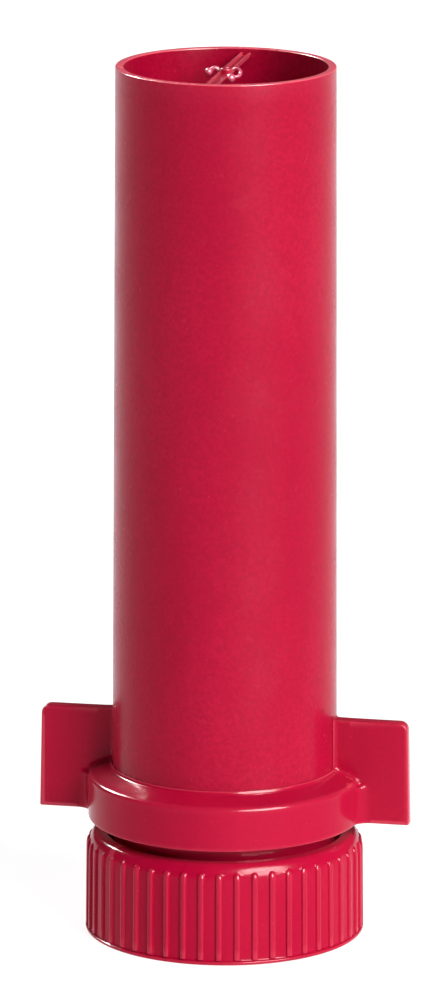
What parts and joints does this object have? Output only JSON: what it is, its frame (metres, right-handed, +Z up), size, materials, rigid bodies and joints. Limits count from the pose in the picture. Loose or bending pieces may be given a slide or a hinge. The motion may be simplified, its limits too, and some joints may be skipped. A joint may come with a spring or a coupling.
{
  "type": "drawing tube",
  "caption": "Open-topped round plastic storage tube with a winged collar near its foot, a ribbed screw cap closing the bottom, and a thin bar with curled hooks across the mouth.",
  "frame": {"origin": "centre of the screw cap's underside, on the tube's axis", "axes": "+Z up along the tube to its open mouth, X through the two wings, Y along the bar across the mouth"},
  "size_m": [0.0938, 0.0696, 0.2184],
  "materials": {
    "barrel_plastic": "fine matte moulded crimson plastic",
    "collar_plastic": "semi-gloss moulded crimson plastic",
    "cap_plastic": "semi-gloss moulded crimson plastic",
    "hanger_plastic": "glossy pale crimson plastic",
    "liner_foam": "off-white closed-cell foam"
  },
  "bodies": {
    "tube": {"tube_barrel": "barrel_plastic", "winged_collar": "collar_plastic", "mouth_bar": "hanger_plastic", "hook_left": "hanger_plastic", "hook_right": "hanger_plastic"},
    "liner": {"cap_liner": "liner_foam"},
    "cap": {"screw_cap": "cap_plastic"}
  },
  "joints": [
    {"name": "cap_travel", "type": "slide", "parent": "tube", "child": "liner", "axis": [0, 0, -1], "range_m": [0, 0.0125]},
    {"name": "cap_turn", "type": "hinge", "parent": "liner", "child": "cap", "pos_m": [0, 0, 0], "axis": [0, 0, -1], "range_deg": [0, 900]}
  ],
  "couplings": [
    {"joint": "cap_travel", "follows": "cap_turn", "m_per_rad": 0.00079577}
  ]
}
